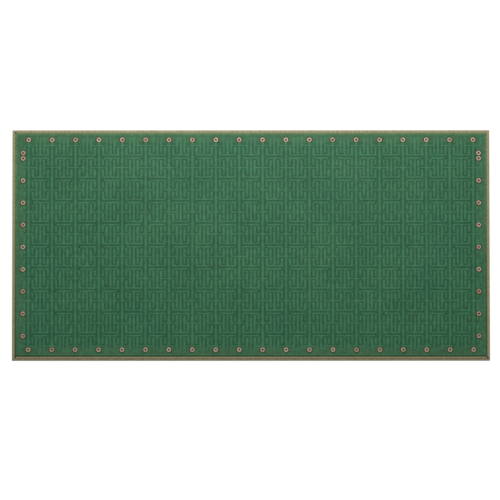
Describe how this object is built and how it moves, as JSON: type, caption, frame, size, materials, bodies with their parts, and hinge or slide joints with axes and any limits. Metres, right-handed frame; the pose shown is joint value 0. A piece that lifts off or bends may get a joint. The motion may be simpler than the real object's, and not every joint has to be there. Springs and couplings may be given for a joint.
{
  "type": "touchpad sensor board",
  "caption": "Bare touchpad circuit board with interleaved sensor electrodes, plated edge pads and a rear flat-cable connector with a slide lock.",
  "frame": {"origin": "middle of the board, in the plane of the raised copper on the touch side", "axes": "+X along the board, +Y across it towards the cable connector, +Z out of the touch side"},
  "size_m": [0.105, 0.0516, 0.0037],
  "materials": {
    "laminate": "bare woven glass laminate, satin, sawn edge",
    "solder_mask": "green solder mask over bare laminate, semi-gloss",
    "coated_copper": "green solder mask over copper, semi-gloss",
    "pad_copper": "pale gold plated copper, satin",
    "tinned_metal": "reflowed tin, satin",
    "package_black": "moulded black resin, matt",
    "ceramic": "tan ceramic, matt",
    "connector_ivory": "moulded ivory nylon, satin",
    "slider_brown": "moulded brown nylon, satin"
  },
  "bodies": {
    "board": {"laminate": "laminate", "front_mask": "solder_mask", "rear_mask": "solder_mask", "column_electrodes": "coated_copper", "row_electrodes": "coated_copper", "guard_trace": "coated_copper", "column_pads": "pad_copper", "row_pads": "pad_copper", "rear_tracks": "coated_copper", "rear_lands": "tinned_metal", "test_pads": "pad_copper", "fiducials": "pad_copper", "controller_body": "package_black", "controller_terminals": "tinned_metal", "controller_thermal_pad": "tinned_metal", "capacitor_bodies": "ceramic", "capacitor_ends": "tinned_metal", "resistor_bodies": "package_black", "resistor_ends": "tinned_metal", "bead_body": "package_black", "bead_ends": "tinned_metal", "regulator_body": "package_black", "regulator_leads": "tinned_metal", "connector_housing": "connector_ivory", "connector_contacts": "pad_copper", "connector_solder_tabs": "tinned_metal"},
    "slider": {"connector_slider": "slider_brown"}
  },
  "joints": [
    {"name": "slider_pull", "type": "slide", "parent": "board", "child": "slider", "axis": [0, 1, 0], "range_m": [0, 0.0009]}
  ]
}
